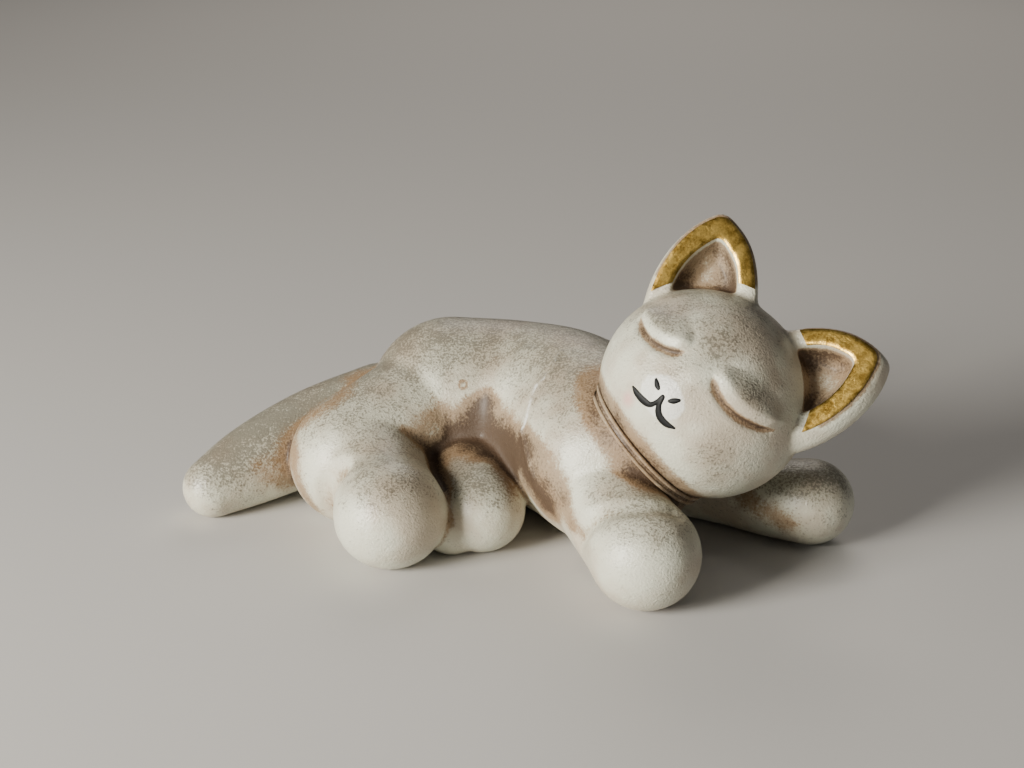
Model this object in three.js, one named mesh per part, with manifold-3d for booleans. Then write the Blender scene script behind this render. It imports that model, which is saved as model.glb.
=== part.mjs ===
// A sleeping ceramic cat, lying on its belly with its head laid over one foreleg. Two hollow body
// castings, a hollow head, solid limbs, tail and ears, gilt bands round the ears, and the mouth and
// nostrils in black enamel. Millimetres. +X runs from tail to head, the paws and the face turn to -Y,
// and +Z is up.
import * as THREE from 'three';
import { mergeVertices } from 'three/addons/utils/BufferGeometryUtils.js';
import Module from 'manifold-3d';

const wasm = await Module();
wasm.setup();

// Driving dimensions
const wall = 4.5; // thickness of the hollow castings
const seam = 0.3; // line of slip left between two pieces
const vent = { x: -22, y: 36, radius: 4 }; // drain hole under the belly
const headRadii = [27.7, 26.6, 26.1]; // half width, depth and height of the head
const headAt = [49.2, -8, 44.8]; // its middle
const headTurn = { yaw: -21.6, lift: -24.5, roll: 35.3 }; // degrees
const neckTilt = { side: 8.8, front: 5 }; // of the neck against the head, degrees
const neckRadius = 20.3; // outside of the luting ring
const neckDrop = 19.5; // from the middle of the head down to the ring
const ringHeight = 3.8;
const earLean = 36.5; // each ear's angle from the crown, degrees
const earToeIn = 9; // turn of each ear's hollow towards the face, degrees
const earDepth = 9; // front to back
const earEdge = 2; // rounding of its edges
const earFront = -5.5; // the ear's front face, ahead of the middle of the head
const earFoot = 18; // the ears stand on the skull from this height over the middle of the head
const hollowEdge = 1.5; // rounding of the lip of each ear's hollow
const hollowDepth = 5;
const giltWidth = 4.6;
const giltInset = 0.8; // pale edge left outside the gilding
const giltHeight = 0.9; // how proud the gilt bead stands
const giltFoot = 30.2; // the gilding stops this far from the middle of the head
const lidRadii = [11.5, 4.6, 6.4]; // half width, depth and height of each eyelid's mound
const lidAt = [0, -24.2, 8.5]; // its middle, before it is turned round the head
const lidTurn = 31; // of each eyelid round the head from the nose, degrees
const ringClearance = 1.5; // round the ring where it sits on the chest
const boreStep = 4; // the bore through the chest is this much narrower than the ring's
const boreDepth = 14;
const strokeHeight = 0.5; // how proud the enamel stands
const centring = [-1, -4.5, 0]; // brings the middle of the footprint to the origin

// Every form is a string of balls: [x, y, z, half width, half height].
const bodyBalls = [
  [-17, 36.5, 24, 24.5, 26],
  [2, 33, 24, 23.5, 26],
  [17, 20, 25, 24.5, 26.5],
  [26, -1, 24.5, 23.5, 23.5],
];
const tailBalls = [
  [-38, 42, 20.5, 14.5, 14.5],
  [-56, 36, 16, 13.5, 13.5],
  [-72, 25, 11.8, 11.6, 11.6],
  [-83, 15.5, 8.2, 8.5, 8.6],
];
const thighBalls = [
  [-27, 28, 23, 19, 19],
  [-43, 16.2, 16.4, 18.5, 18.2],
];
const shankBalls = [
  [-39.6, 14.2, 16, 17, 17],
  [-34.2, -1.6, 14, 13.9, 14.2],
  [-31.7, -14, 13.6, 14.9, 14.3],
];
const leftHindBalls = [
  [-13.3, 20, 12, 11.5, 11.5],
  [-11.5, 7, 11.5, 13, 12.6],
  [-8.2, -4.5, 10.3, 11.8, 11.2],
];
const webBalls = [ // clay pressed between the two hind paws
  [-11, -2, 8, 8, 7.6],
  [-16.2, -7, 7, 8, 7.6],
];
const rightForeBalls = [
  [16, 10, 28, 16, 17],
  [22, -10, 21, 14, 15],
  [29, -26, 14.5, 13.2, 14],
  [32.5, -37.7, 13.5, 14, 13.8],
];
const leftForeBalls = [
  [40, 20, 13, 12, 12.5],
  [58, 12, 10.6, 10.4, 10.8],
  [70, 4, 10.6, 10.6, 10.8],
  [80, -1, 11.3, 11.8, 11.6],
];
const flank = { point: [10, 28, 25], normal: [1, -0.35, 0.15] }; // joint of the two body castings

// Brush strokes on the face, as [x, z] seen from the front of the head.
const rightLip = { width: 1.5, points: [[-8.5, -8.9], [-5.4, -9.5], [-2.3, -8.6], [-0.4, -5.2]] };
const leftLip = { width: 1.5, points: [[-0.8, -5.2], [1.2, -8.6], [3.3, -9.7], [6.1, -9]] };
const rightNostril = { width: 1.3, points: [[-4.9, -3.4], [-3.8, -4.1], [-2.8, -4.5]] };
const leftNostril = { width: 1.3, points: [[1.3, -4.9], [2.1, -4.1], [3, -3.1]] };

const reach = 240; // larger than the whole cat, for cutting blocks
const up = new THREE.Vector3(0, 0, 1);
const radians = THREE.MathUtils.degToRad;

const glaze = new THREE.MeshStandardMaterial({ color: '#c9c5b8', roughness: 0.4, metalness: 0 });
const gilt = new THREE.MeshStandardMaterial({ color: '#b8913f', roughness: 0.38, metalness: 1 });
const enamel = new THREE.MeshStandardMaterial({ color: '#1d2322', roughness: 0.3, metalness: 0 });

// ---- making solids ----

function solid(geometry, matrix = new THREE.Matrix4()) {
  const bare = geometry.index ? geometry.toNonIndexed() : geometry.clone();
  bare.deleteAttribute('normal');
  bare.deleteAttribute('uv');
  const merged = mergeVertices(bare.applyMatrix4(matrix), 1e-4);
  return new wasm.Manifold(
    new wasm.Mesh({
      numProp: 3,
      vertProperties: merged.attributes.position.array,
      triVerts: new Uint32Array(merged.index.array),
    }),
  );
}

function geometryOf(manifold) {
  const mesh = manifold.getMesh();
  const geometry = new THREE.BufferGeometry();
  geometry.setAttribute('position', new THREE.BufferAttribute(mesh.vertProperties, 3));
  geometry.setIndex(new THREE.BufferAttribute(mesh.triVerts, 1));
  geometry.computeVertexNormals();
  return geometry;
}

function add(group, name, manifold, material) {
  const mesh = new THREE.Mesh(geometryOf(manifold), material);
  mesh.name = name;
  group.add(mesh);
}

// A round-ended form swept through a string of balls, made from a sphere whose poles are its two ends.
function ballChain(balls, grow = 0, around = 24, along = 16) {
  const spine = new THREE.CatmullRomCurve3(balls.map(([x, y, z]) => new THREE.Vector3(x, y, z)));
  const girth = new THREE.CatmullRomCurve3(
    balls.map(([, , , wide, high]) => new THREE.Vector3(wide + grow, high + grow, 0)),
  );
  const endShare = 4 / along; // share of the rings that closes each end
  const geometry = new THREE.SphereGeometry(1, around, along);
  const { position, uv } = geometry.attributes;
  for (let i = 0; i < position.count; i += 1) {
    const share = uv.getY(i);
    const t = THREE.MathUtils.clamp((share - endShare) / (1 - 2 * endShare), 0, 1);
    const bend = (Math.PI / 2) * Math.min(1, share / endShare, (1 - share) / endShare);
    const turn = uv.getX(i) * 2 * Math.PI;
    const ahead = spine.getTangent(t);
    const side = new THREE.Vector3().crossVectors(up, ahead).normalize();
    const over = new THREE.Vector3().crossVectors(ahead, side);
    const half = girth.getPoint(t);
    const overhang = Math.cos(bend) * ((half.x + half.y) / 2) * Math.sign(share - 0.5);
    const place = spine
      .getPoint(t)
      .addScaledVector(ahead, overhang)
      .addScaledVector(side, Math.cos(turn) * Math.sin(bend) * half.x)
      .addScaledVector(over, Math.sin(turn) * Math.sin(bend) * half.y);
    position.setXYZ(i, place.x, place.y, place.z);
  }
  return solid(geometry);
}

// Everything beyond a plane, in the direction of its normal.
function beyond({ point, normal }, gap = 0) {
  const facing = new THREE.Quaternion().setFromUnitVectors(up, new THREE.Vector3(...normal).normalize());
  const one = new THREE.Vector3(1, 1, 1);
  const place = new THREE.Matrix4().compose(new THREE.Vector3(...point), facing, one);
  return solid(new THREE.BoxGeometry(reach, reach, reach).translate(0, 0, reach / 2 + gap), place);
}

const bench = { point: [0, 0, 0], normal: [0, 0, 1] };
const aboveBench = beyond(bench);

// ---- the head and all that sits on it ----

const cat = new THREE.Group();
cat.position.set(...centring);

const head = new THREE.Group();
head.position.set(...headAt);
head.rotation.set(radians(headTurn.lift), radians(headTurn.roll), radians(headTurn.yaw), 'ZXY');
cat.add(head);
head.updateMatrix();

const neck = new THREE.Group();
neck.rotation.set(radians(neckTilt.front), radians(neckTilt.side), 0, 'XYZ');
head.add(neck);
neck.updateMatrix();
const neckPlace = new THREE.Matrix4().multiplyMatrices(head.matrix, neck.matrix);

function skull(grow, around = 36, along = 24) {
  const [x, y, z] = headRadii.map((radius) => radius + grow);
  return new THREE.SphereGeometry(1, around, along).rotateX(Math.PI / 2).scale(x, y, z);
}

// A disc round the neck's axis, from bottom to top of the given heights.
function neckDisc(radius, bottom, top, around = 32) {
  const disc = new THREE.CylinderGeometry(radius, radius, top - bottom, around);
  return disc.rotateX(Math.PI / 2).translate(0, 0, (top + bottom) / 2);
}

const ringTop = -neckDrop + ringHeight / 2;
const ringBottom = -neckDrop - ringHeight / 2;

function lidMound(side) {
  const mound = new THREE.SphereGeometry(1, 16, 10).scale(...lidRadii);
  return solid(mound.translate(...lidAt).rotateZ(side * radians(lidTurn)));
}

const castHead = solid(skull(0))
  .add(lidMound(1))
  .add(lidMound(-1))
  .subtract(solid(skull(-wall, 20, 14)))
  .subtract(solid(neckDisc(reach / 4, -reach / 4, ringTop + seam), neck.matrix));
add(head, 'head', castHead, glaze);

// Two thin rolls side by side on the outside of the ring, and a plain bore inside it.
function ringProfile() {
  const roll = ringHeight / 4;
  const outline = new THREE.Path();
  outline.moveTo(neckRadius - wall, -2 * roll);
  outline.lineTo(neckRadius - roll, -2 * roll);
  outline.absarc(neckRadius - roll, -roll, roll, -Math.PI / 2, Math.PI / 2);
  outline.absarc(neckRadius - roll, roll, roll, -Math.PI / 2, Math.PI / 2);
  outline.lineTo(neckRadius - wall, 2 * roll);
  outline.lineTo(neckRadius - wall, -2 * roll);
  return outline.getPoints(4);
}

const ring = new THREE.LatheGeometry(ringProfile(), 32).rotateX(Math.PI / 2).translate(0, 0, -neckDrop);
add(neck, 'neck_ring', solid(ring), glaze);

// The ear's outline, seen from the front: u runs to the outer side, v away from the middle of the head.
function earOutline(inset, side) {
  const outer = 17.5 - inset;
  const inner = -11 + inset;
  const tip = 46.4 - 1.25 * inset;
  const shape = new THREE.Shape();
  shape.moveTo(side * outer, earFoot);
  shape.bezierCurveTo(side * outer, 32 - inset / 3, side * (9 - inset / 2), tip - 3, side * 1.5, tip);
  shape.quadraticCurveTo(side * (-0.5 + inset / 8), tip + 0.3, side * (-2 + inset / 6), tip - 1);
  const innerHip = 34 - inset / 3;
  shape.bezierCurveTo(side * (-8 + inset / 2), tip - 6, side * inner, innerHip, side * inner, earFoot);
  shape.closePath();
  return shape;
}

// A slab of the ear from front to back, standing on the head at its lean.
function earSlab(inset, side, front, back, bevel) {
  const slab = new THREE.ExtrudeGeometry(earOutline(inset + bevel, side), {
    depth: back - front - 2 * bevel,
    curveSegments: 6,
    bevelEnabled: bevel > 0,
    bevelSize: bevel,
    bevelThickness: bevel,
    bevelSegments: 2,
  });
  slab.rotateX(Math.PI / 2).translate(0, back - bevel, 0);
  return slab.rotateZ(-side * radians(earToeIn)).rotateY(side * radians(earLean));
}

const hollowInset = giltInset + giltWidth;
const hollowBack = earFront + hollowDepth;
const giltBack = earFront - seam;
const clearOfSkull = solid(skull(seam));
const clearOfFoot = solid(new THREE.SphereGeometry(giltFoot, 24, 16));

for (const [name, side] of [['right_ear', -1], ['left_ear', 1]]) {
  const horn = solid(earSlab(0, side, earFront, earFront + earDepth, earEdge));
  const scoop = solid(earSlab(hollowInset, side, earFront - 2 * hollowEdge, hollowBack, hollowEdge));
  add(head, name, horn.subtract(scoop).subtract(clearOfSkull), glaze);
  const plate = solid(earSlab(giltInset, side, giltBack - giltHeight, giltBack, 0));
  const inside = solid(earSlab(hollowInset, side, giltBack - 2 * giltHeight, giltBack + giltHeight, 0));
  add(head, `${name}_gilding`, plate.subtract(inside).subtract(clearOfFoot), gilt);
}

// A tapered brush stroke raised on the face.
function stroke({ points, width }) {
  const line = new THREE.SplineCurve(points.map(([x, z]) => new THREE.Vector2(x, z)));
  const steps = points.length * 2;
  const edge = (side) => (_, i) => {
    const t = i / steps;
    const ahead = line.getTangent(t);
    const half = (width / 2) * (0.25 + 0.75 * Math.sin(Math.PI * t));
    return line.getPoint(t).add(new THREE.Vector2(-ahead.y, ahead.x).multiplyScalar(side * half));
  };
  const one = Array.from({ length: steps + 1 }, edge(1));
  const other = Array.from({ length: steps + 1 }, edge(-1)).reverse();
  const outline = new THREE.Shape([...one, ...other]);
  const blade = new THREE.ExtrudeGeometry(outline, { depth: 2 * headRadii[1], bevelEnabled: false });
  const film = solid(skull(seam + strokeHeight)).subtract(solid(skull(seam)));
  return solid(blade.rotateX(Math.PI / 2)).intersect(film);
}

add(head, 'mouth_line', stroke(rightLip).add(stroke(leftLip)), enamel);
add(head, 'right_nostril', stroke(rightNostril), enamel);
add(head, 'left_nostril', stroke(leftNostril), enamel);

// ---- the body and the limbs luted to it ----

const clearOfHead = solid(skull(seam), head.matrix);
const clearOfRing = solid(neckDisc(neckRadius + ringClearance, ringBottom - seam, 0), neckPlace);

const bodyForm = ballChain(bodyBalls, 0, 32, 22);
const bodyClear = ballChain(bodyBalls, seam, 32, 22);
const bodyHollow = ballChain(bodyBalls, -wall, 20, 14);
const neckBore = solid(neckDisc(neckRadius - wall - boreStep, ringBottom - boreDepth, 0, 28), neckPlace);
const body = bodyForm
  .subtract(bodyHollow)
  .subtract(neckBore)
  .subtract(clearOfHead)
  .subtract(clearOfRing)
  .intersect(aboveBench);

const drill = new THREE.CylinderGeometry(vent.radius, vent.radius, 3 * wall, 24).rotateX(Math.PI / 2);
const drained = body.subtract(solid(drill.translate(vent.x, vent.y, 0)));
add(cat, 'hind_body', drained.subtract(beyond(flank, -seam / 2)), glaze);
add(cat, 'fore_body', body.intersect(beyond(flank, seam / 2)), glaze);

const limbs = {
  right_hind_leg: [thighBalls, shankBalls],
  left_hind_leg: [leftHindBalls, webBalls],
  tail: [tailBalls],
  right_foreleg: [rightForeBalls],
  left_foreleg: [leftForeBalls],
};
let taken = bodyClear.add(clearOfHead).add(clearOfRing);
for (const [name, chains] of Object.entries(limbs)) {
  const form = chains.map((balls) => ballChain(balls)).reduce((a, b) => a.add(b));
  add(cat, name, form.subtract(taken).intersect(aboveBench), glaze);
  for (const balls of chains) taken = taken.add(ballChain(balls, seam));
}

export default cat;
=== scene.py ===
import math
import bpy
import numpy as np
from mathutils import Euler, Matrix, Vector
from mathutils.kdtree import KDTree


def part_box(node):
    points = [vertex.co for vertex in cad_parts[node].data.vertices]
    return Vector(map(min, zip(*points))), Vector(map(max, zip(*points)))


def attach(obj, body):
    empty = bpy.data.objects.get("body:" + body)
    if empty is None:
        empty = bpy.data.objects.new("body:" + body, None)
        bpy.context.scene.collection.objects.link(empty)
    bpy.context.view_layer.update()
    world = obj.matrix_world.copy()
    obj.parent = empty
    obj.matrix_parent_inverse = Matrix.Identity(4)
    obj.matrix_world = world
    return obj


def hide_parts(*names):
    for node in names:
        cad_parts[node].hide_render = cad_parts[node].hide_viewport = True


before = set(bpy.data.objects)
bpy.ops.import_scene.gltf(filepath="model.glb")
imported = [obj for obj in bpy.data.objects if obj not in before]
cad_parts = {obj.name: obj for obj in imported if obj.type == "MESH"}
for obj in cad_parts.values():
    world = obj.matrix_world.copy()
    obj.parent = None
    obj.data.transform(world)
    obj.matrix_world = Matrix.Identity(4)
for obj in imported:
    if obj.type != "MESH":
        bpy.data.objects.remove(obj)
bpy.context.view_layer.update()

mm = 0.001

# helpers for meshes


def inBox(node, x, y, z):
    # a place given as shares of a CAD node's box
    low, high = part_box(node)
    return Vector([a + (b - a) * share for a, b, share in zip(low, high, (x, y, z))])


def selectOnly(*pieces):
    bpy.ops.object.select_all(action="DESELECT")
    for piece in pieces:
        piece.select_set(True)
    bpy.context.view_layer.objects.active = pieces[0]


def applyModifier(piece, kind, **settings):
    selectOnly(piece)
    modifier = piece.modifiers.new(kind.lower(), kind)
    for name, value in settings.items():
        setattr(modifier, name, value)
    bpy.ops.object.modifier_apply(modifier=modifier.name)
    return piece


def copyOf(piece, name):
    selectOnly(piece)
    bpy.ops.object.duplicate()
    bpy.context.object.name = name
    return bpy.context.object


def joined(name, pieces):
    selectOnly(*pieces)
    bpy.ops.object.join()
    bpy.context.object.name = name
    return fixPlace(bpy.context.object)


def fixPlace(piece):
    # moves the piece's place and turn into its mesh
    selectOnly(piece)
    bpy.ops.object.transform_apply(location=True, rotation=True, scale=True)
    return piece


def cut(piece, tool, how):
    return applyModifier(piece, "BOOLEAN", operation=how, solver="MANIFOLD", object=tool)


def remove(*pieces):
    for piece in pieces:
        bpy.data.objects.remove(piece, do_unlink=True)


def verticesOf(piece):
    flat = np.empty(len(piece.data.vertices) * 3)
    piece.data.vertices.foreach_get("co", flat)
    return flat.reshape(-1, 3)


def normalsOf(piece):
    flat = np.empty(len(piece.data.vertices) * 3)
    piece.data.vertex_normals.foreach_get("vector", flat)
    return flat.reshape(-1, 3)


def moveVertices(piece, places):
    piece.data.vertices.foreach_set("co", np.ascontiguousarray(places).ravel())
    piece.data.update()


def smoothStep(low, high, value):
    share = np.clip((value - low) / (high - low), 0, 1)
    return share * share * (3 - 2 * share)


# the camera

camera = {"x": -1, "y": -382.5, "height": 182, "tilt": 70, "lens": 54.1}
bpy.ops.object.camera_add(
    location=(camera["x"] * mm, camera["y"] * mm, camera["height"] * mm),
    rotation=(math.radians(camera["tilt"]), 0, 0),
)
bpy.context.object.data.lens = camera["lens"]
bpy.context.object.data.clip_start = 0.01
bpy.context.scene.camera = bpy.context.object

# rolled clay forms, each a string of overlapping balls

# Balls are (x, y, z) as shares of the CAD node's box, then half width and half height in mm.
bodyForm = {
    "node": "hind_body",
    "balls": [
        (0.41, 0.61, 0.48, 24.5, 26.0),
        (0.73, 0.55, 0.48, 23.5, 26.0),
        (0.97, 0.33, 0.49, 24.5, 26.5),
        (1.12, -0.01, 0.48, 23.5, 23.5),
    ],
}
tailForm = {
    "node": "tail",
    "balls": [
        (0.91, 0.71, 0.59, 14.5, 14.5),
        (0.60, 0.59, 0.46, 13.5, 13.5),
        (0.33, 0.36, 0.34, 11.6, 11.6),
        (0.14, 0.17, 0.24, 8.5, 8.6),
    ],
}
thighForm = {
    "node": "right_hind_leg",
    "balls": [(0.77, 0.82, 0.56, 19.0, 19.0), (0.41, 0.65, 0.40, 18.5, 18.2)],
}
shankForm = {
    "node": "right_hind_leg",
    "balls": [
        (0.49, 0.62, 0.39, 17.0, 17.0),
        (0.61, 0.39, 0.34, 13.9, 14.2),
        (0.67, 0.21, 0.33, 14.9, 14.3),
    ],
}
leftHindForm = {
    "node": "left_hind_leg",
    "balls": [
        (0.39, 0.91, 0.50, 11.5, 11.5),
        (0.46, 0.58, 0.48, 13.0, 12.6),
        (0.58, 0.29, 0.43, 11.8, 11.2),
    ],
}
webForm = {  # clay pressed between the two hind paws
    "node": "left_hind_leg",
    "balls": [(0.48, 0.35, 0.33, 8.0, 7.6), (0.30, 0.23, 0.29, 8.4, 7.8)],
}
rightForeForm = {
    "node": "right_foreleg",
    "balls": [
        (0.16, 1.58, 0.91, 16.0, 17.0),
        (0.33, 1.07, 0.68, 14.0, 15.0),
        (0.52, 0.66, 0.47, 13.2, 14.0),
        (0.62, 0.36, 0.44, 14.0, 13.8),
    ],
}
leftForeForm = {
    "node": "left_foreleg",
    "balls": [
        (0.13, 0.73, 0.53, 12.0, 12.5),
        (0.43, 0.55, 0.43, 10.4, 10.8),
        (0.63, 0.37, 0.43, 10.6, 10.8),
        (0.80, 0.26, 0.46, 11.8, 11.6),
    ],
}
clay = {
    "gap": 2.5,  # between the balls of a roll, in mm
    "bodyGrain": 0.65,
    "headGrain": 0.42,
    "toolGrain": 1.3,
    "toolGrow": 1.5,  # how far a parting tool stands off its limb
    "bodyRounds": 14,  # rounds of smoothing
    "headRounds": 10,
    "thumbRounds": 150,
    "earRootRounds": 60,
    "creaseAngle": 40,
}


def smoothRow(points, gap):
    # a smooth row of places through the given ones, a set gap apart
    points = [np.array(point, dtype=float) for point in points]
    points = [2 * points[0] - points[1], *points, 2 * points[-1] - points[-2]]
    row = []
    for before, start, end, after in zip(points, points[1:], points[2:], points[3:]):
        steps = math.ceil(np.linalg.norm(end[:3] - start[:3]) / gap)
        for t in np.arange(steps) / steps:
            bend = 2 * before - 5 * start + 4 * end - after
            twist = 3 * (start - end) + after - before
            row.append(start + 0.5 * t * (end - before + t * (bend + t * twist)))
    return np.array(row + [points[-2]])


def ballRow(form, grow=0.0):
    # the form's balls in metres, close enough to read as one roll
    balls = [
        [*inBox(form["node"], x, y, z), (wide + grow) * mm, (high + grow) * mm]
        for x, y, z, wide, high in form["balls"]
    ]
    return smoothRow(balls, clay["gap"] * mm)


def addBall(place, sizes, segments=40):
    bpy.ops.mesh.primitive_uv_sphere_add(
        segments=segments, ring_count=segments // 2, radius=1, location=place, scale=sizes
    )
    return bpy.context.object


def pressBalls(name, row, grain):
    # balls pressed into one closed lump
    balls = [addBall((x, y, z), (wide, wide, high)) for x, y, z, wide, high in row]
    return applyModifier(joined(name, balls), "REMESH", mode="VOXEL", voxel_size=grain * mm)


def blockAbove(name, place, size=0.3):
    # a block whose underside lies in the flat of the given place
    bpy.ops.mesh.primitive_cube_add(size=size, location=(0, 0, size / 2))
    block = fixPlace(bpy.context.object)
    block.name = name
    block.data.transform(place)
    return block


def lineField(piece, places, lines):
    # each line is laid on the piece and fades smoothly to 0 at its radius
    total = np.zeros(len(places))
    for node, path, radius, strength in lines:
        row = smoothRow([inBox(node, *share) for share in path], radius / 2 * mm)
        nearest = np.full(len(places), 1e9)
        for point in row:
            laid = piece.closest_point_on_mesh(Vector(point))[1]
            nearest = np.minimum(nearest, ((places - np.array(laid)) ** 2).sum(axis=1))
        total += strength * (1 - smoothStep(0, radius * mm, np.sqrt(nearest)))
    return total


def setFields(piece, fields):
    for name, values in fields.items():
        layer = piece.data.attributes.new(name, "FLOAT", "POINT")
        layer.data.foreach_set("value", np.ascontiguousarray(values, dtype=np.float32))


def fieldTree(places):
    tree = KDTree(len(places))
    for index, place in enumerate(places):
        tree.insert(place, index)
    tree.balance()
    return tree


def copyFields(piece, tree, fields):
    # each point of a parted piece takes the fields of the whole skin's nearest point
    nearest = [tree.find(vertex.co)[1] for vertex in piece.data.vertices]
    setFields(piece, {name: values[nearest] for name, values in fields.items()})


def hollows(piece, rounds):
    # how far each point of the surface lies below its smoothed neighbourhood, in mm
    smoothed = applyModifier(copyOf(piece, "smoothed"), "SMOOTH", factor=0.5, iterations=rounds)
    depth = ((verticesOf(smoothed) - verticesOf(piece)) * normalsOf(piece)).sum(axis=1) / mm
    remove(smoothed)
    return depth


def smoothIn(piece, weights, rounds):
    # smooths the piece only where the weights say
    group = piece.vertex_groups.new(name="smoothed")
    for index in np.flatnonzero(weights > 0.02):
        group.add([int(index)], float(min(weights[index], 1)), "REPLACE")
    applyModifier(piece, "SMOOTH", factor=0.5, iterations=rounds, vertex_group="smoothed")
    piece.vertex_groups.clear()


def takeShading(piece, whole):
    # a parted piece keeps the whole skin's normals, so the joints don't show as edges
    settings = {
        "use_loop_data": True,
        "data_types_loops": {"CUSTOM_NORMAL"},
        "loop_mapping": "POLYINTERP_NEAREST",
    }
    applyModifier(piece, "DATA_TRANSFER", object=whole, **settings)


def handIn(piece, node, material):
    # the piece gets its finish and takes its CAD node's place
    piece.data.materials.clear()
    piece.data.materials.append(material)
    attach(piece, "root")
    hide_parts(node)
    print(piece.name, len(piece.data.vertices))


def finishPiece(piece, node, material):
    selectOnly(piece)
    bpy.ops.object.shade_smooth_by_angle(angle=math.radians(clay["creaseAngle"]))
    handIn(piece, node, material)


# finishes


def linear(hexColour):
    # a screen colour as the renderer's own linear one
    parts = [int(hexColour[i:i + 2], 16) / 255 for i in (1, 3, 5)]
    return [p / 12.92 if p <= 0.04045 else ((p + 0.055) / 1.055) ** 2.4 for p in parts] + [1]


def newMaterial(name):
    material = bpy.data.materials.new(name)
    material.use_nodes = True
    return material, material.node_tree, material.node_tree.nodes["Principled BSDF"]


def addNode(tree, kind, inputs, **settings):
    node = tree.nodes.new("ShaderNode" + kind)
    for name, value in settings.items():
        setattr(node, name, value)
    for name, value in inputs.items():
        if isinstance(value, bpy.types.NodeSocket):
            tree.links.new(value, node.inputs[name])
        else:
            node.inputs[name].default_value = value
    return node.outputs


def placeInMm(tree):
    here = addNode(tree, "TexCoord", {})["Object"]
    return addNode(tree, "VectorMath", {0: here, "Scale": 1000}, operation="SCALE")["Vector"]


def sumOf(tree, *terms):
    # adds up (socket, weight) pairs
    total = 0.0
    for socket, weight in terms:
        inputs = {0: socket, 1: weight, 2: total}
        total = addNode(tree, "Math", inputs, operation="MULTIPLY_ADD")["Value"]
    return total


def layCoat(tree, under, amount, coat):
    # lays the coat's tone over the colour under it, and gives its share and the new colour
    inputs = {"Value": amount, "From Min": coat["from"], "From Max": coat["to"], "To Max": coat["strength"]}
    share = addNode(tree, "MapRange", inputs, interpolation_type="SMOOTHSTEP")["Result"]
    inputs = {0: share, 6: under, 7: linear(coat["tone"])}
    return share, addNode(tree, "Mix", inputs, data_type="RGBA")[2]


# Glazed earthenware, dry-brushed and stained: a pearly satin that is duller where dusty or brown.
glazeForm = {
    "cream": "#d4d4c1",
    "blush": "#dc9c96",
    "blushStrength": 0.6,
    "hatchTurn": (0, -25, 25),  # short hatching left by the brush, along the thigh
    "hatchStretch": 0.22,
    "roughness": 0.2,
    "coat": 0.12,
    "coatRoughness": 0.3,
    "relief": 0.24,
}
# the size of each pattern's blotches in mm, with its detail and roughness
glazeGrains = {
    "cloud": (17, 3, 0.55),
    "blotch": (4.5, 4, 0.6),
    "speck": (0.62, 2, 0.6),
    "brush": (0.75, 2, 0.55),
}
# Each coat starts to show and is full at two values of a weighted sum of patterns and fields.
glazeCoats = {
    "warmth": {  # cream that wanders between cool and pinkish
        "sum": {"cloud": 1}, "from": 0.38, "to": 0.66, "strength": 1, "tone": "#c0b5a1",
    },
    "shade": {  # painted shade: soft grey on the tops of the forms and on the sides turned from the light, broken up by clouding
        "sum": {"dustAndShade": 0.9, "cloud": 0.7, "blotch": 0.4},
        "from": 0.65, "to": 1.6, "strength": 0.5, "tone": "#7f7362",
    },
    "dusting": {  # dark specks of dry brushing, closest together on the tops
        "sum": {"speck": 1, "brush": 0.2, "dustAndShade": 0.2, "blotch": 0.5},
        "from": 0.98, "to": 1.22, "strength": 0.62, "tone": "#4a4336",
    },
    "wash": {  # brown stain, thin at its edges, with painted shade under the belly and in the ear hollows
        "sum": {"patinaAndShade": 1.25, "blotch": 0.9, "speck": 0.9, "brush": 0.15},
        "from": 1.2, "to": 1.9, "strength": 0.8, "tone": "#856744",
    },
    "crease": {  # the stain where it has gathered, and the painted shade where it is darkest
        "sum": {"patinaAndShade": 0.95, "blotch": 1.2, "speck": 1.3},
        "from": 1.95, "to": 2.75, "strength": 0.88, "tone": "#382515",
    },
    "slipAndHighlight": {  # white slip on the muzzle, and along the flank joint a white line that is partly slip, partly a painted highlight on the ridge
        "sum": {"slipAndHighlight": 1, "blotch": 0.8, "speck": 0.4},
        "from": 0.95, "to": 1.35, "strength": 0.8, "tone": "#e6e7e0",
    },
}

glaze, tree, shader = newMaterial("aged cream glaze")
place = placeInMm(tree)
hatch = {
    "Vector": place,
    "Rotation": [math.radians(angle) for angle in glazeForm["hatchTurn"]],
    "Scale": (glazeForm["hatchStretch"], 1, 1),
}
along = addNode(tree, "Mapping", hatch)["Vector"]
sources = {}
for name, (size, detail, roughness) in glazeGrains.items():
    inputs = {"Vector": along if name == "brush" else place, "Scale": 1 / size}
    inputs |= {"Detail": detail, "Roughness": roughness}
    sources[name] = addNode(tree, "TexNoise", inputs)["Fac"]
for name in ("dustAndShade", "patinaAndShade", "slipAndHighlight", "blush"):
    sources[name] = addNode(tree, "Attribute", {}, attribute_name=name)["Fac"]
colour = linear(glazeForm["cream"])
amounts = {}
shares = {}
for name, coat in glazeCoats.items():
    amounts[name] = sumOf(tree, *[(sources[source], weight) for source, weight in coat["sum"].items()])
    shares[name], colour = layCoat(tree, colour, amounts[name], coat)
blush = sumOf(tree, (sources["blush"], glazeForm["blushStrength"]))
inputs = {0: blush, 6: colour, 7: linear(glazeForm["blush"])}
colour = addNode(tree, "Mix", inputs, data_type="RGBA")[2]
tree.links.new(colour, shader.inputs["Base Color"])
rough = sumOf(
    tree,
    (amounts["dusting"], 0.1), (sources["speck"], 0.12), (shares["wash"], 0.375), (glazeForm["roughness"], 1),
)
tree.links.new(rough, shader.inputs["Roughness"])
shader.inputs["Coat Weight"].default_value = glazeForm["coat"]
shader.inputs["Coat Roughness"].default_value = glazeForm["coatRoughness"]
height = sumOf(tree, (sources["speck"], 0.8), (sources["blotch"], 1.2), (sources["brush"], 0.3))
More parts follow.
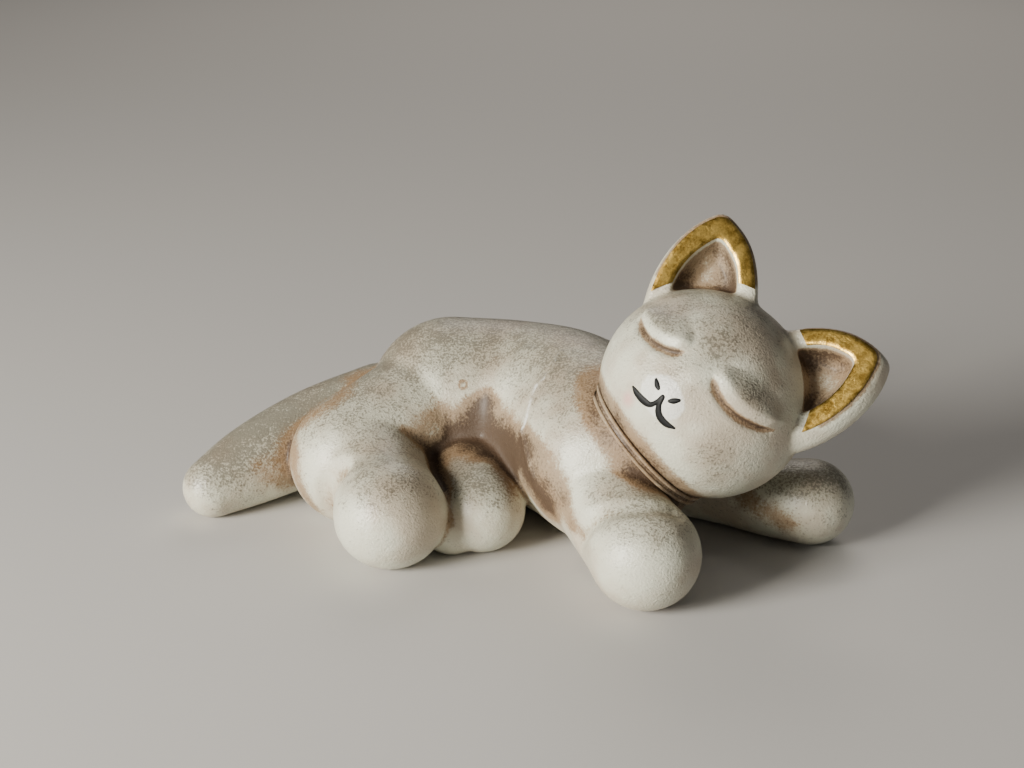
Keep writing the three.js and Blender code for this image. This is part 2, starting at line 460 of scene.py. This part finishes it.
inputs = {"Height": height, "Distance": glazeForm["relief"] * mm, "Strength": 1}
tree.links.new(addNode(tree, "Bump", inputs)["Normal"], shader.inputs["Normal"])

# Brushed gold lustre: bright metal with thin worn places.
goldForm = {"worn": "#7d6229", "roughness": 0.34, "relief": 0.06, "blotch": 3, "speck": 0.6}
goldCoat = {"from": 0.5, "to": 1.0, "strength": 1, "tone": "#d3b15f"}

gold, tree, shader = newMaterial("brushed gold lustre")
place = placeInMm(tree)
inputs = {"Vector": place, "Scale": 1 / goldForm["blotch"], "Detail": 3, "Roughness": 0.6}
blotch = addNode(tree, "TexNoise", inputs)["Fac"]
inputs = {"Vector": place, "Scale": 1 / goldForm["speck"], "Detail": 3, "Roughness": 0.7}
speck = addNode(tree, "TexNoise", inputs)["Fac"]
tone = sumOf(tree, (blotch, 0.9), (speck, 0.6))
gilt = layCoat(tree, linear(goldForm["worn"]), tone, goldCoat)[1]
tree.links.new(gilt, shader.inputs["Base Color"])
shader.inputs["Metallic"].default_value = 1
shader.inputs["Roughness"].default_value = goldForm["roughness"]
height = sumOf(tree, (speck, 1), (blotch, 0.6))
inputs = {"Height": height, "Distance": goldForm["relief"] * mm, "Strength": 1}
tree.links.new(addNode(tree, "Bump", inputs)["Normal"], shader.inputs["Normal"])

# Brushed enamel: near black with a broad, weak gloss, so the strokes stay dark where light falls.
enamelForm = {"tone": "#0c0e10", "roughness": 0.5, "specular": 0.25}

enamel, tree, shader = newMaterial("black enamel")
shader.inputs["Base Color"].default_value = linear(enamelForm["tone"])
shader.inputs["Roughness"].default_value = enamelForm["roughness"]
shader.inputs["Specular IOR Level"].default_value = enamelForm["specular"]
print("finishes", glaze.name, gold.name, enamel.name)

# where the head and its neck lie

headForm = {
    "wide": 27.7,
    "deep": 26.6,
    "high": 26.1,
    "round": 26,  # the radius that heights over the skull are measured with
    "yaw": -21.6,
    "lift": -24.5,
    "roll": 35.3,
}
neckForm = {"side": 8.8, "front": 5, "drop": 19.5, "stump": 18.5}

turn = [math.radians(headForm[way]) for way in ("lift", "roll", "yaw")]
lean = [math.radians(neckForm["front"]), math.radians(neckForm["side"]), 0]
headTurn = Euler(turn, "YXZ").to_matrix().to_4x4()
neckTurn = headTurn @ Euler(lean, "ZYX").to_matrix().to_4x4()
neckMiddle = inBox("neck_ring", 0.5, 0.5, 0.5)
headPlace = Matrix.Translation(neckMiddle + neckTurn @ Vector((0, 0, neckForm["drop"] * mm))) @ headTurn
neckPlace = Matrix.Translation(neckMiddle) @ neckTurn

# the body, limbs and tail as one skin

limbForms = {
    "rightHindLeg": ("right_hind_leg", [thighForm, shankForm]),
    "leftHindLeg": ("left_hind_leg", [leftHindForm, webForm]),
    "tailRoll": ("tail", [tailForm]),
    "rightForeleg": ("right_foreleg", [rightForeForm]),
    "leftForeleg": ("left_foreleg", [leftForeForm]),
}
rows = [ballRow(bodyForm)]
for node, forms in limbForms.values():
    rows += [ballRow(form) for form in forms]
stumpTop = [*(neckPlace @ Vector((0, 0, 0))), neckForm["stump"] * mm, neckForm["stump"] * mm]
rows.append(smoothRow([rows[0][-1], stumpTop], clay["gap"] * mm))  # the chest rises to the neck
skin = pressBalls("skin", np.concatenate(rows), clay["bodyGrain"])
bench = blockAbove("bench", Matrix.Identity(4))
cut(skin, bench, "INTERSECT")
remove(bench)
applyModifier(skin, "REMESH", mode="VOXEL", voxel_size=clay["bodyGrain"] * mm)
applyModifier(skin, "SMOOTH", factor=0.5, iterations=clay["bodyRounds"])
print("skin", len(skin.data.vertices))

# Each line is a path of shares of one node's box, a radius in mm and a height or strength.
relief = [
    (
        "fore_body",
        [(0.27, 0.47, 0.96), (0.21, 0.39, 0.89), (0.14, 0.36, 0.83), (0.11, 0.33, 0.77), (0.06, 0.28, 0.63)],
        1.5, 0.7,
    ),
    ("fore_body", [(0.06, 0.28, 0.63), (0.08, 0.22, 0.55), (0.12, 0.16, 0.46)], 1.8, 0.5),
    ("hind_body", [(0.75, 0.28, 0.94), (0.69, 0.24, 0.87), (0.64, 0.21, 0.77)], 4, 0.6),
    (
        "right_foreleg",
        [(0.1, 0.5, 0.5), (0.25, 0.44, 0.68), (0.38, 0.38, 0.82), (0.57, 0.31, 0.9), (0.79, 0.34, 0.82)],
        5, -1.3,
    ),
    ("right_hind_leg", [(0.21, 0.38, 0.1), (0.21, 0.36, 0.3), (0.28, 0.3, 0.6)], 6, -1.5),
]
stainAndShadeLines = [
    ("hind_body", [(0.26, 0.13, 0.52), (0.35, 0.2, 0.6), (0.45, 0.21, 0.59), (0.57, 0.22, 0.64)], 8, 0.8),
    (
        "hind_body",
        [
            (0.57, 0.22, 0.64), (0.65, 0.12, 0.62), (0.73, -0.05, 0.58),
            (0.77, -0.15, 0.53), (0.87, -0.31, 0.39),
        ],
        9, 0.9,
    ),
    # under the belly the brown is deepened as painted shade, where the thigh and paws shade it
    ("hind_body", [(0.5, 0.1, 0.5), (0.62, 0.04, 0.5), (0.72, -0.12, 0.45), (0.8, -0.25, 0.3)], 10, 1.3),
    (
        "right_foreleg",
        [(-0.17, 1.16, 1.04), (-0.03, 0.93, 0.99), (0.07, 0.8, 0.8), (0.13, 0.63, 0.55)],
        6, 0.7,
    ),
    ("left_hind_leg", [(0.18, 0.66, 0.83), (0.23, 0.33, 0.64), (0.22, 0.26, 0.29)], 6, 1.1),
    ("left_hind_leg", [(0.36, 0.98, 0.97), (0.73, 0.89, 1.02), (1.05, 0.5, 0.87)], 7, 0.8),
    ("right_hind_leg", [(0.09, 0.56, 0.49), (0.13, 0.52, 0.32), (0.19, 0.52, 0.19)], 7, 0.8),
    (
        "tail",
        [(0.8, 0.62, 0.96), (0.75, 0.22, 0.98), (0.62, 0.15, 0.8), (0.52, 0.26, 0.54), (0.49, 0.21, 0.29)],
        9, 0.7,
    ),
    ("tail", [(0.36, 0.14, 0.45), (0.38, 0.14, 0.34)], 5, 0.5),
    ("left_foreleg", [(0.22, -0.18, 0.84), (0.51, 0.21, 0.55), (0.67, 0.07, 0.37)], 8, 0.7),
]
paintedShadeLines = [  # painted shade, heavier on the tail, the far legs and the back, which are turned from the light
    ("tail", [(0.9, 0.6, 0.8), (0.55, 0.4, 0.8), (0.25, 0.2, 0.5)], 26, 1.1),
    ("left_foreleg", [(0.3, 0.3, 0.8), (0.7, 0.1, 0.6), (0.9, 0.1, 0.7)], 20, 0.5),
    ("left_hind_leg", [(0.54, 0.5, 0.87), (0.63, 0.21, 0.68)], 12, 0.4),
    ("hind_body", [(0.2, 0.5, 0.95), (0.7, 0.5, 1), (1.1, 0.1, 1)], 26, 0.4),
]
softened = [  # thumbed smooth
    ("hind_body", [(0.66, 0.22, 0.8), (0.6, 0.18, 0.66), (0.62, 0.1, 0.58)], 13, 1),
]
slipAndHighlightLines = [  # the ridge of slip squeezed out along the flank joint, drawn white as slip and as a painted highlight on the ridge
    ("fore_body", [(0.27, 0.47, 0.96), (0.21, 0.39, 0.89), (0.14, 0.36, 0.83)], 0.9, 0.5),
    (
        "fore_body",
        [(0.14, 0.36, 0.83), (0.11, 0.33, 0.77), (0.08, 0.29, 0.69), (0.06, 0.28, 0.63)],
        0.9, 0.75,
    ),
]
ringMark = {"place": (0.47, 0.27, 0.76), "radius": 1.1, "width": 0.45, "strength": 0.9}
# top is where the painted shade on upward faces begins and where it is full
bodyStainAndShade = {"rounds": 160, "deepest": 0.8, "top": (0.1, 0.95)}
bodyCollar = {"radius": 19, "height": -1, "near": 1.5, "far": 8.5, "strength": 1.05}


def collarStain(piece, turn, collar):
    # the stain round the neck ring, for a piece whose neck lies at the given turn
    places = verticesOf(piece)
    fromNeck = np.array(turn.inverted()) @ np.c_[places, np.ones(len(places))].T / mm
    around = np.hypot(fromNeck[0], fromNeck[1]) - collar["radius"]
    away = np.hypot(around, fromNeck[2] - collar["height"])
    return collar["strength"] * (1 - smoothStep(collar["near"], collar["far"], away))


smoothIn(skin, lineField(skin, verticesOf(skin), softened), clay["thumbRounds"])
places = verticesOf(skin)
heights = lineField(skin, places, relief) * mm
moveVertices(skin, places + normalsOf(skin) * heights[:, None])
places = verticesOf(skin)
tops = normalsOf(skin)[:, 2]
fromMark = np.linalg.norm(places - inBox("hind_body", *ringMark["place"]), axis=1) / mm
mark = ringMark["strength"] * np.exp(-(((fromMark - ringMark["radius"]) / ringMark["width"]) ** 2))
patinaAndShade = np.clip(hollows(skin, bodyStainAndShade["rounds"]), 0, bodyStainAndShade["deepest"])
patinaAndShade += lineField(skin, places, stainAndShadeLines) + collarStain(skin, neckPlace, bodyCollar) + mark
skinFields = {
    "patinaAndShade": patinaAndShade,
    # painted shade on the tops of the forms and along the painted shade lines, which also thickens the
    # dry-brushed specks
    "dustAndShade": smoothStep(*bodyStainAndShade["top"], tops) + lineField(skin, places, paintedShadeLines),
    "slipAndHighlight": lineField(skin, places, slipAndHighlightLines),
    "blush": np.zeros(len(places)),
}
skinTree = fieldTree(places)
selectOnly(skin)
bpy.ops.object.shade_smooth()
wholeSkin = copyOf(skin, "wholeSkin")

# the skin parted along the real joints

flank = {"point": (0.858, 0.466, 0.495), "normal": (1, -0.35, 0.15)}
vent = {"x": 0.33, "y": 0.6, "radius": 4, "length": 30, "hollow": 18, "hollowX": 0.38, "height": 0.48}
seat = {"radius": 20.2, "deep": 20, "height": 8.8}  # the bed that the neck ring sits in


def part(name, tool, node):
    # takes the share of the skin inside the tool as a piece of its own
    piece = cut(copyOf(skin, name), tool, "INTERSECT")
    cut(skin, tool, "DIFFERENCE")
    remove(tool)
    copyFields(piece, skinTree, skinFields)
    finishPiece(piece, node, glaze)
    takeShading(piece, wholeSkin)
    return piece


for name, (node, forms) in limbForms.items():
    toolRow = np.concatenate([ballRow(form, clay["toolGrow"]) for form in forms])
    part(name, pressBalls("tool", toolRow, clay["toolGrain"]), node)
bpy.ops.mesh.primitive_cylinder_add(
    vertices=96, radius=seat["radius"] * mm, depth=seat["deep"] * mm, location=(0, 0, seat["height"] * mm)
)
neckSeat = fixPlace(bpy.context.object)
neckSeat.data.transform(neckPlace)
cut(skin, neckSeat, "DIFFERENCE")
remove(neckSeat)
flankTurn = Vector((0, 0, 1)).rotation_difference(Vector(flank["normal"])).to_matrix().to_4x4()
flankPlace = Matrix.Translation(inBox("hind_body", *flank["point"])) @ flankTurn
part("foreBody", blockAbove("tool", flankPlace), "fore_body")
takeShading(skin, wholeSkin)
remove(wholeSkin)
# the belly's drain hole opens into the hollow casting
ventPlace = inBox("hind_body", vent["x"], vent["y"], 0)
hollowPlace = inBox("hind_body", vent["hollowX"], vent["y"], vent["height"])
hollow = addBall(hollowPlace, [vent["hollow"] * mm] * 3)
bpy.ops.mesh.primitive_cylinder_add(
    vertices=48, radius=vent["radius"] * mm, depth=vent["length"] * mm, location=ventPlace
)
bore = fixPlace(bpy.context.object)
fixPlace(hollow)
cut(hollow, bore, "UNION")
cut(skin, hollow, "DIFFERENCE")
remove(hollow, bore)
skin.name = "hindBody"
copyFields(skin, skinTree, skinFields)
handIn(skin, "hind_body", glaze)

# the neck ring

ringForm = {
    "outer": 19.7,
    "inner": 16.8,
    "shoulder": 19.2,
    "high": 1.5,
    "ridge": 0.5,
    "apart": 0.85,
    "steps": 160,
    "stain": 1.5,
    "worn": 0.8,  # how much of the stain is rubbed off the ridges
}
ridges = []
for middle in (-ringForm["apart"], ringForm["apart"]):
    for angle in np.linspace(-80, 80, 9):
        turn = math.radians(angle)
        out = ringForm["outer"] + ringForm["ridge"] * math.cos(turn)
        ridges.append((out, middle + ringForm["ridge"] * math.sin(turn)))
profile = [
    (ringForm["inner"], -ringForm["high"]),
    (ringForm["shoulder"], -ringForm["high"]),
    *ridges,
    (ringForm["shoulder"], ringForm["high"]),
    (ringForm["inner"], ringForm["high"]),
]
bpy.ops.mesh.primitive_circle_add(vertices=len(profile), radius=1)
ring = bpy.context.object
ring.name = "neckRing"
moveVertices(ring, np.array([(x * mm, 0, z * mm) for x, z in profile]))
bpy.ops.object.mode_set(mode="EDIT")
bpy.ops.mesh.select_all(action="SELECT")
bpy.ops.mesh.spin(
    steps=ringForm["steps"], angle=math.tau, center=(0, 0, 0), axis=(0, 0, 1), use_auto_merge=True
)
bpy.ops.mesh.select_all(action="SELECT")
bpy.ops.mesh.remove_doubles(threshold=0.01 * mm)
bpy.ops.mesh.normals_make_consistent(inside=False)
bpy.ops.object.mode_set(mode="OBJECT")
fromAxis = np.hypot(*verticesOf(ring)[:, :2].T) / mm
ridged = smoothStep(ringForm["outer"] - 0.1, ringForm["outer"] + ringForm["ridge"], fromAxis)
ring.data.transform(neckPlace)
blank = np.zeros(len(ring.data.vertices))
ringPatina = ringForm["stain"] - ringForm["worn"] * ridged
setFields(ring, {"patinaAndShade": ringPatina, "dustAndShade": blank, "slipAndHighlight": blank, "blush": blank})
finishPiece(ring, "neck_ring", glaze)

# the head and ears as one skin, in the head's own place

earForm = {"lean": 36.5, "toeIn": 9, "outer": 17.5, "inner": -11, "tip": 45.7, "foot": 18}


def curve(points, count):
    # a Bezier curve through its end points
    t = np.linspace(0, 1, count, endpoint=False)[:, None]
    rows = [np.array(point, dtype=float) for point in points]
    while len(rows) > 1:
        rows = [a + (b - a) * t for a, b in zip(rows, rows[1:])]
    return rows[0]


def earOutline(inset, flare=0):
    # u runs to the ear's outer side and v away from the middle of the head, in mm
    outer, inner = earForm["outer"] - inset + flare, earForm["inner"] + inset
    tip, foot, lean = earForm["tip"] - 1.25 * inset + 0.5 * flare, earForm["foot"], 0.6 * flare
    top, turned = (1.5 + lean, tip), (lean - 2 + inset / 6, tip - 1)
    return np.concatenate([
        curve([(outer, foot), (outer, 32 - inset / 3), (9 - inset / 2 + 1.5 * lean, tip - 3), top], 24),
        curve([top, (lean - 0.5 + inset / 8, tip + 0.3), turned], 6),
        curve([turned, (-8 + inset / 2, tip - 6), (inner, 34 - inset / 3), (inner, foot)], 24),
        [(inner, foot)],
    ])


def earStack(name, side, layers):
    # the ear's outline extruded through (depth, inset, flare) layers from front to back
    outline = earOutline(layers[0][1])
    bpy.ops.mesh.primitive_circle_add(vertices=len(outline), radius=1, fill_type="NGON")
    stack = bpy.context.object
    stack.name = name
    places = []
    for depth, *shape in layers:
        places += [(side * u * mm, depth * mm, v * mm) for u, v in earOutline(*shape)]
    bpy.ops.object.mode_set(mode="EDIT")
    bpy.ops.mesh.select_all(action="SELECT")
    for _ in layers[1:]:
        bpy.ops.mesh.extrude_region_move()
    bpy.ops.object.mode_set(mode="OBJECT")
    moveVertices(stack, np.array(places))
    bpy.ops.object.mode_set(mode="EDIT")
    bpy.ops.mesh.select_all(action="SELECT")
    bpy.ops.mesh.normals_make_consistent(inside=False)
    bpy.ops.object.mode_set(mode="OBJECT")
    stack.data.transform(earTurn(side))
    return stack


def earTurn(side):
    lean = Matrix.Rotation(side * math.radians(earForm["lean"]), 4, "Y")
    return lean @ Matrix.Rotation(-side * math.radians(earForm["toeIn"]), 4, "Z")


flares = {-1: 1.0, 1: 2.5}  # how far the back of each ear swells past its rim
solidLayers = [  # depth, inset and share of the flare
    (-5.6, 0.8, 0), (-4.9, 0.1, 0), (-3.9, 0, 0.35), (-2, 0, 0.8),
    (0, 0, 1), (2, 0.8, 1), (3.8, 2.6, 0.8), (4.8, 5.2, 0.6),
]
scoopLayers = [(-9, 3.6), (-5.5, 5.2), (-3.5, 5.9), (-1.2, 7.2), (0.4, 9.4)]
skullShape = np.array([headForm[way] for way in ("wide", "deep", "high")])
skullSize = [size * mm for size in skullShape]
lumps = [addBall((0, 0, 0), skullSize, 128)]
for side in (-1, 1):
    flared = [(depth, inset, share * flares[side]) for depth, inset, share in solidLayers]
    ear = earStack("ear", side, flared)
    scoop = earStack("scoop", side, scoopLayers)
    cut(ear, scoop, "DIFFERENCE")
    remove(scoop)
    lumps.append(ear)
head = applyModifier(joined("head", lumps), "REMESH", mode="VOXEL", voxel_size=clay["headGrain"] * mm)
applyModifier(head, "SMOOTH", factor=0.5, iterations=clay["headRounds"])

# softer where the ears grow out of the head
places = verticesOf(head) / mm
overSkull = (np.linalg.norm(places / skullShape, axis=1) - 1) * headForm["round"]
earRoot = 1 - smoothStep(1.5, 5, overSkull)
earRoot *= smoothStep(8, 16, places[:, 2]) * smoothStep(-9, -3, places[:, 1])
smoothIn(head, earRoot, clay["earRootRounds"])

lids = [  # the ends of each lower edge, how far it sags between them and the lid's rise
    {"start": (-21.8, 4.8), "end": (-4.2, 6.4), "sag": 2.7, "rise": 2.0},
    {"start": (4.4, 7.0), "end": (22.6, 6.8), "sag": 3.15, "rise": 2.3},
]
faceBumps = [  # x, z, radius and height
    (0.5, -4.5, 10, 1.0), (0, 16, 13, 0.5), (1, 4, 5, 0.6), (14.5, 17.5, 6, -0.6), (-13, 16.5, 6, -0.4),
    (-14, -6, 11, 0.5), (16, -7, 12, 0.5),
]
places = verticesOf(head) / mm
across, up = places[:, 0], places[:, 2]
facing = 1 - smoothStep(-8, -2, places[:, 1])
height = np.zeros(len(places))
underLid = np.zeros(len(places))
for lid in lids:
    start, end = np.array(lid["start"]), np.array(lid["end"])
    length = np.linalg.norm(end - start)
    along = (end - start) / length
    run = ((across - start[0]) * along[0] + (up - start[1]) * along[1]) / length
    dome = np.clip(1 - (2 * run - 1) ** 2, 0, 1)
    above = (up - start[1]) * along[0] - (across - start[0]) * along[1] + lid["sag"] * dome
    within = np.clip(dome * 2.2, 0, 1) ** 0.8
    mound = smoothStep(-0.3, 0.4, above) * (0.5 + 0.5 * smoothStep(0, 3.2, above))
    mound *= 1 - smoothStep(1.5, 3.5 + 7 * dome, above)
    height += within * (lid["rise"] * mound - 0.7 * np.exp(-(((above + 0.8) / 1.1) ** 2)))
    # a soft stain in the crease, with a dark line that grows towards the lid's outer end
    underLid += within * np.exp(-(((above + 0.7) / 1.2) ** 2))
    underLid += within * 1.6 * run * np.exp(-(((above + 0.2) / 0.35) ** 2))
for x, z, radius, rise in faceBumps:
    height += rise * np.exp(-((across - x) ** 2 + (up - z) ** 2) / (radius / 1.6) ** 2)
moveVertices(head, (places + normalsOf(head) * (height * facing)[:, None]) * mm)
print("head skin", len(head.data.vertices))

# the fields the glaze reads
headStain = {"rounds": 120, "deepest": 0.5, "strength": 0.8, "lids": 0.8}
headCollar = {"radius": 18.5, "height": 1, "near": 1, "far": 9, "strength": 1.2}
places = verticesOf(head) / mm
patinaAndShade = headStain["strength"] * np.clip(hollows(head, headStain["rounds"]), 0, headStain["deepest"])
patinaAndShade += collarStain(head, headPlace.inverted() @ neckPlace, headCollar)
patinaAndShade += headStain["lids"] * underLid * facing
for side in (-1, 1):
    local = np.array(earTurn(side).inverted())[:3, :3] @ places.T
    u, v = side * local[0], local[2]
    inHollow = smoothStep(-5.2, -3.6, local[1]) * (1 - smoothStep(0.6, 1.4, local[1]))
    inHollow *= smoothStep(24, 26, v)
    inHollow *= 1 - smoothStep(0.88, 1.02, np.hypot((u - 3) / 9, (v - 24) / 16))
    pale = np.exp(-(((u - 3.5) / 3.4) ** 2 + ((v - 31) / 5.5) ** 2))
    # painted shadow at the hollow's sides and foot, lighter in its middle
    shadow = smoothStep(2, 8, np.abs(u - 3)) + (1 - smoothStep(25, 28, v))
    patinaAndShade += inHollow * (0.9 - 0.45 * pale + 0.5 * shadow)
    # thin brown line round the gilding
    nearRim = np.full(len(places), 1e9)
    for rimU, rimV in smoothRow(earOutline(0.5), 0.5):
        nearRim = np.minimum(nearRim, (u - rimU) ** 2 + (v - rimV) ** 2)
    inFront = (1 - smoothStep(-4.8, -3.4, local[1])) * smoothStep(27, 29, v)
    patinaAndShade += 0.8 * np.exp(-nearRim / 0.7 ** 2) * inFront
worldUp = headTurn.inverted() @ Vector((0, 0, 1))
tops = normalsOf(head) @ np.array(worldUp)
paintedShadeSpots = [  # painted shade over the lids, between the eyes and on the cheek turned from the light: x, z, radius and strength
    (0.7, 11.8, 8, 0.8), (-14, 7.8, 5, 0.9), (13.2, 9, 5.5, 1.1), (3, 1, 4, 0.3), (17, -8, 12, 0.9),
]
paintedShade = np.zeros(len(places))
for x, z, radius, strength in paintedShadeSpots:
    paintedShade += strength * np.exp(-((across - x) ** 2 + (up - z) ** 2) / (0.6 * radius) ** 2)
headFields = {
    "patinaAndShade": patinaAndShade,
    # painted shade on the head's upward faces and in the painted shade spots
    "dustAndShade": 0.75 * smoothStep(0.2, 1, tops) + paintedShade * facing,
    "slipAndHighlight": facing * (1 - smoothStep(0.6, 1.15, np.hypot((across + 0.8) / 7.2, (up + 5.4) / 5.6))),
    "blush": facing * (1 - smoothStep(0, 3, np.hypot(across + 7.6, up + 11.9))),
}
headTree = fieldTree(verticesOf(head))

# enamel strokes laid on the face: points (x, z) with the brush's half width
strokes = {
    "mouthLine": (
        "mouth_line",
        [
            (-8.6, -8.8, 0.3), (-7.2, -9.2, 0.8), (-5.4, -9.4, 1.0), (-3.4, -9.3, 1.0),
            (-1.8, -8.7, 0.7), (-1, -7, 0.55), (-0.6, -5.2, 0.6), (-0.1, -7.2, 0.7),
            (0.8, -8.7, 0.95), (2.2, -9.5, 1.05), (4, -9.6, 0.95), (6.2, -9, 0.35),
        ],
    ),
    "rightNostril": ("right_nostril", [(-4.9, -3.4, 0.45), (-3.8, -4.1, 0.75), (-2.8, -4.5, 0.5)]),
    "leftNostril": ("left_nostril", [(1.3, -4.9, 0.45), (2.1, -4.1, 0.75), (3, -3.1, 0.45)]),
}


brush = {"gap": 0.25, "proud": 0.3, "reach": 60, "grain": 0.16, "rounds": 4}


def brushStroke(name, points):
    proud = brush["proud"]
    row = []
    for x, z, half in smoothRow(points, brush["gap"]):
        place, normal = head.ray_cast((x * mm, -brush["reach"] * mm, z * mm), (0, 1, 0))[1:3]
        # a lens of the given half width that stands a little proud
        radius = (half ** 2 + proud ** 2) / (2 * proud) if half > proud else half
        centre = place - normal * (radius - proud) * mm
        row.append((*centre, radius * mm, radius * mm))
    balls = [addBall((x, y, z), (wide, wide, high), 20) for x, y, z, wide, high in row]
    stroke = applyModifier(joined(name, balls), "REMESH", mode="VOXEL", voxel_size=brush["grain"] * mm)
    applyModifier(stroke, "SMOOTH", factor=0.5, iterations=brush["rounds"])
    stroke.data.transform(headPlace)
    return stroke


for name, (node, points) in strokes.items():
    finishPiece(brushStroke(name, points), node, enamel)

# gilding: a film over the rim of each ear
film = {"thick": 0.35, "outer": 0.7, "inner": 5.2, "foot": 29.6}
thickened = copyOf(head, "thickened")
moveVertices(thickened, verticesOf(head) + normalsOf(head) * film["thick"] * mm)
ears = {"rightEar": ("right_ear", -1), "leftEar": ("left_ear", 1)}
for name, (node, side) in ears.items():
    band = earStack("band", side, [(-9, film["outer"]), (-2.5, film["outer"])])
    inside = earStack("inside", side, [(-12, film["inner"]), (2, film["inner"])])
    cut(band, inside, "DIFFERENCE")
    footBall = fixPlace(addBall((0, 0, 0), [film["foot"] * mm] * 3, 64))
    cut(band, footBall, "DIFFERENCE")
    gilding = cut(copyOf(thickened, name + "Gilding"), band, "INTERSECT")
    cut(gilding, head, "DIFFERENCE")
    remove(band, inside, footBall)
    gilding.data.transform(headPlace)
    finishPiece(gilding, node + "_gilding", gold)
remove(thickened)

for name, (node, side) in ears.items():
    tool = earStack("tool", side, [(-8, -1.5, 4), (7.5, -1.5, 4)])
    ear = cut(copyOf(head, name), tool, "INTERSECT")
    cut(head, tool, "DIFFERENCE")
    remove(tool)
    copyFields(ear, headTree, headFields)
    ear.data.transform(headPlace)
    finishPiece(ear, node, glaze)
copyFields(head, headTree, headFields)
head.data.transform(headPlace)
finishPiece(head, "head", glaze)

# the floor and the light

# Matt painted board: even and pale, so the figure's shadow reads softly.
studio = {"size": 6, "floor": "#c9c7c4", "roughness": 0.7, "air": "#484848", "aim": (0, 0, 0.03)}
bpy.ops.mesh.primitive_plane_add(size=studio["size"], location=(0, 0, 0))
floor = bpy.context.object
floor.name = "floor"
plain, tree, shader = newMaterial("pale studio floor")
shader.inputs["Base Color"].default_value = linear(studio["floor"])
shader.inputs["Roughness"].default_value = studio["roughness"]
floor.data.materials.append(plain)

lamps = {
    "key": {"place": (-0.72, -0.56, 0.3), "watts": 22, "size": 0.35, "tint": "#fffaf0"},
    "fill": {"place": (0.6, -0.4, 0.8), "watts": 0.3, "size": 0.8, "tint": "#f2f6ff"},
    "back": {"place": (0.15, 1.6, 1.2), "watts": 10, "size": 1, "tint": "#fff6ea"},
}
for name, lamp in lamps.items():
    bpy.ops.object.light_add(type="AREA", location=lamp["place"])
    light = bpy.context.object
    light.name = name
    light.data.energy = lamp["watts"]
    light.data.size = lamp["size"]
    light.data.color = linear(lamp["tint"])[:3]
    light.rotation_euler = (Vector(studio["aim"]) - light.location).to_track_quat("-Z", "Y").to_euler()
world = bpy.data.worlds.new("studio")
bpy.context.scene.world = world
world.use_nodes = True
world.node_tree.nodes["Background"].inputs["Color"].default_value = linear(studio["air"])
print("stage", len(lamps), "lamps")
